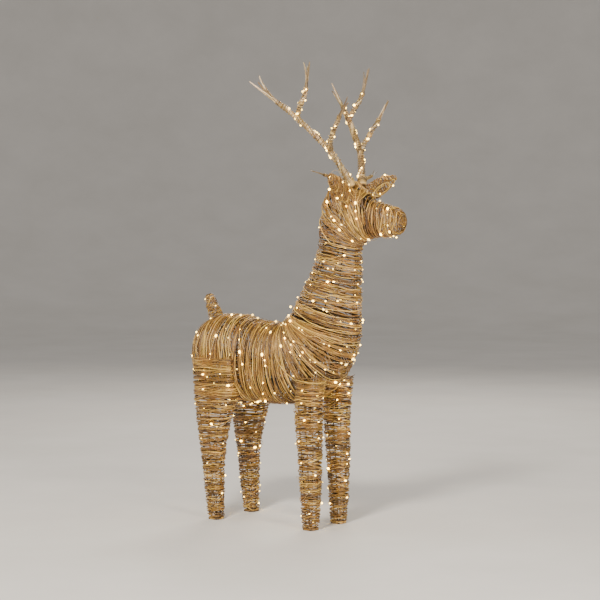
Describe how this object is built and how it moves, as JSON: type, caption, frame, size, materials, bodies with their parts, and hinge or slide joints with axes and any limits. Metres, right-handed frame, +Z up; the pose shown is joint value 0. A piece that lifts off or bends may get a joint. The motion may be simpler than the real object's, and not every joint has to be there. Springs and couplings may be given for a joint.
{
  "type": "light up yard reindeer",
  "caption": "Standing reindeer figure of wound paper twine on a wire frame, with branching antlers and strings of warm micro lamps.",
  "frame": {"origin": "on the ground under the middle of the reindeer's overall box", "axes": "+X forwards (the way the nose points), +Y to the reindeer's own left, +Z up"},
  "size_m": [0.643, 0.3764, 1.2],
  "materials": {
    "frame_steel": "satin",
    "paper_twine": "matt",
    "wrapped_twig": "matt",
    "paper_tie": "matt",
    "light_wire": "lacquered",
    "lamp": "clear resin",
    "box_plastic": "fine texture",
    "gasket_rubber": "matt",
    "screw_steel": "plated",
    "board": "solder mask",
    "button_plastic": "gloss"
  },
  "bodies": {
    "torso": {"torso_frame": "frame_steel", "torso_wrap": "paper_twine", "leg_sockets": "frame_steel", "neck_sockets": "frame_steel", "torso_light_wire": "light_wire", "torso_lamps": "lamp", "tail_frame": "frame_steel", "tail_wrap": "paper_twine", "control_box_base": "box_plastic", "control_box_lid": "box_plastic", "lid_gasket": "gasket_rubber", "lid_screws": "screw_steel", "circuit_board": "board", "cord_gland": "box_plastic", "box_clips": "box_plastic"},
    "neck_and_head": {"neck_frame": "frame_steel", "neck_wrap": "paper_twine", "head_frame": "frame_steel", "head_wrap": "paper_twine", "antler_sockets": "frame_steel", "muzzle_wrap": "paper_twine", "right_ear_wrap": "paper_twine", "left_ear_wrap": "paper_twine", "head_light_wire": "light_wire", "head_lamps": "lamp"},
    "timer_button": {"timer_button": "button_plastic"},
    "right_antler": {"right_antler_beam": "wrapped_twig", "right_antler_front_tine": "wrapped_twig", "right_antler_rear_tine": "wrapped_twig", "right_antler_brow_twig": "wrapped_twig", "right_antler_ties": "paper_tie", "right_antler_light_wire": "light_wire", "right_antler_lamps": "lamp"},
    "left_antler": {"left_antler_beam": "wrapped_twig", "left_antler_front_tine": "wrapped_twig", "left_antler_rear_tine": "wrapped_twig", "left_antler_brow_twig": "wrapped_twig", "left_antler_ties": "paper_tie", "left_antler_light_wire": "light_wire", "left_antler_lamps": "lamp"},
    "right_rear_leg": {"right_rear_leg_frame": "frame_steel", "right_rear_leg_wrap": "paper_twine", "right_rear_foot": "frame_steel", "right_rear_leg_light_wire": "light_wire", "right_rear_leg_lamps": "lamp"},
    "left_rear_leg": {"left_rear_leg_frame": "frame_steel", "left_rear_leg_wrap": "paper_twine", "left_rear_foot": "frame_steel", "left_rear_leg_light_wire": "light_wire", "left_rear_leg_lamps": "lamp"},
    "right_front_leg": {"right_front_leg_frame": "frame_steel", "right_front_leg_wrap": "paper_twine", "right_front_foot": "frame_steel", "right_front_leg_light_wire": "light_wire", "right_front_leg_lamps": "lamp"},
    "left_front_leg": {"left_front_leg_frame": "frame_steel", "left_front_leg_wrap": "paper_twine", "left_front_foot": "frame_steel", "left_front_leg_light_wire": "light_wire", "left_front_leg_lamps": "lamp"}
  },
  "joints": [
    {"name": "neck_lift", "type": "slide", "parent": "torso", "child": "neck_and_head", "axis": [0, 0, 1], "range_m": [0, 0.075]},
    {"name": "timer_press", "type": "slide", "parent": "torso", "child": "timer_button", "axis": [0, 0, 1], "range_m": [0, 0.0012], "stiffness_N_per_m": 900, "springref_m": -0.001},
    {"name": "right_antler_pull", "type": "slide", "parent": "neck_and_head", "child": "right_antler", "axis": [-0.3358, -0.4365, 0.8347], "range_m": [0, 0.045]},
    {"name": "left_antler_pull", "type": "slide", "parent": "neck_and_head", "child": "left_antler", "axis": [-0.3358, 0.4365, 0.8347], "range_m": [0, 0.045]},
    {"name": "right_rear_leg_pull", "type": "slide", "parent": "torso", "child": "right_rear_leg", "axis": [0, 0, -1], "range_m": [0, 0.075]},
    {"name": "left_rear_leg_pull", "type": "slide", "parent": "torso", "child": "left_rear_leg", "axis": [0, 0, -1], "range_m": [0, 0.075]},
    {"name": "right_front_leg_pull", "type": "slide", "parent": "torso", "child": "right_front_leg", "axis": [0, 0, -1], "range_m": [0, 0.075]},
    {"name": "left_front_leg_pull", "type": "slide", "parent": "torso", "child": "left_front_leg", "axis": [0, 0, -1], "range_m": [0, 0.075]}
  ]
}
